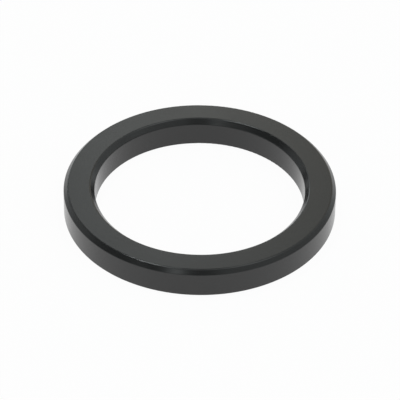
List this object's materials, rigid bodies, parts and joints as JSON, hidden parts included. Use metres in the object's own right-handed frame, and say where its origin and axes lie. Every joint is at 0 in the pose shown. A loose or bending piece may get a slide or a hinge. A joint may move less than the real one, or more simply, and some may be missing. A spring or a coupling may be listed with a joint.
{
  "type": "group head gasket",
  "caption": "Flat moulded rubber ring with a chamfer round each upper edge, pressed into a brewing group's groove so that the portafilter's rim seals on its plain lower face.",
  "frame": {"origin": "centre of the plain sealing face, on the ring's axis; the ring lies on this face", "axes": "+Z along the ring's axis, from the sealing face to the chamfered back face; X and Y lie across the ring"},
  "size_m": [0.073, 0.073, 0.0078],
  "materials": {
    "rubber": "satin black moulded rubber"
  },
  "bodies": {
    "root": {"gasket": "rubber"}
  },
  "joints": []
}
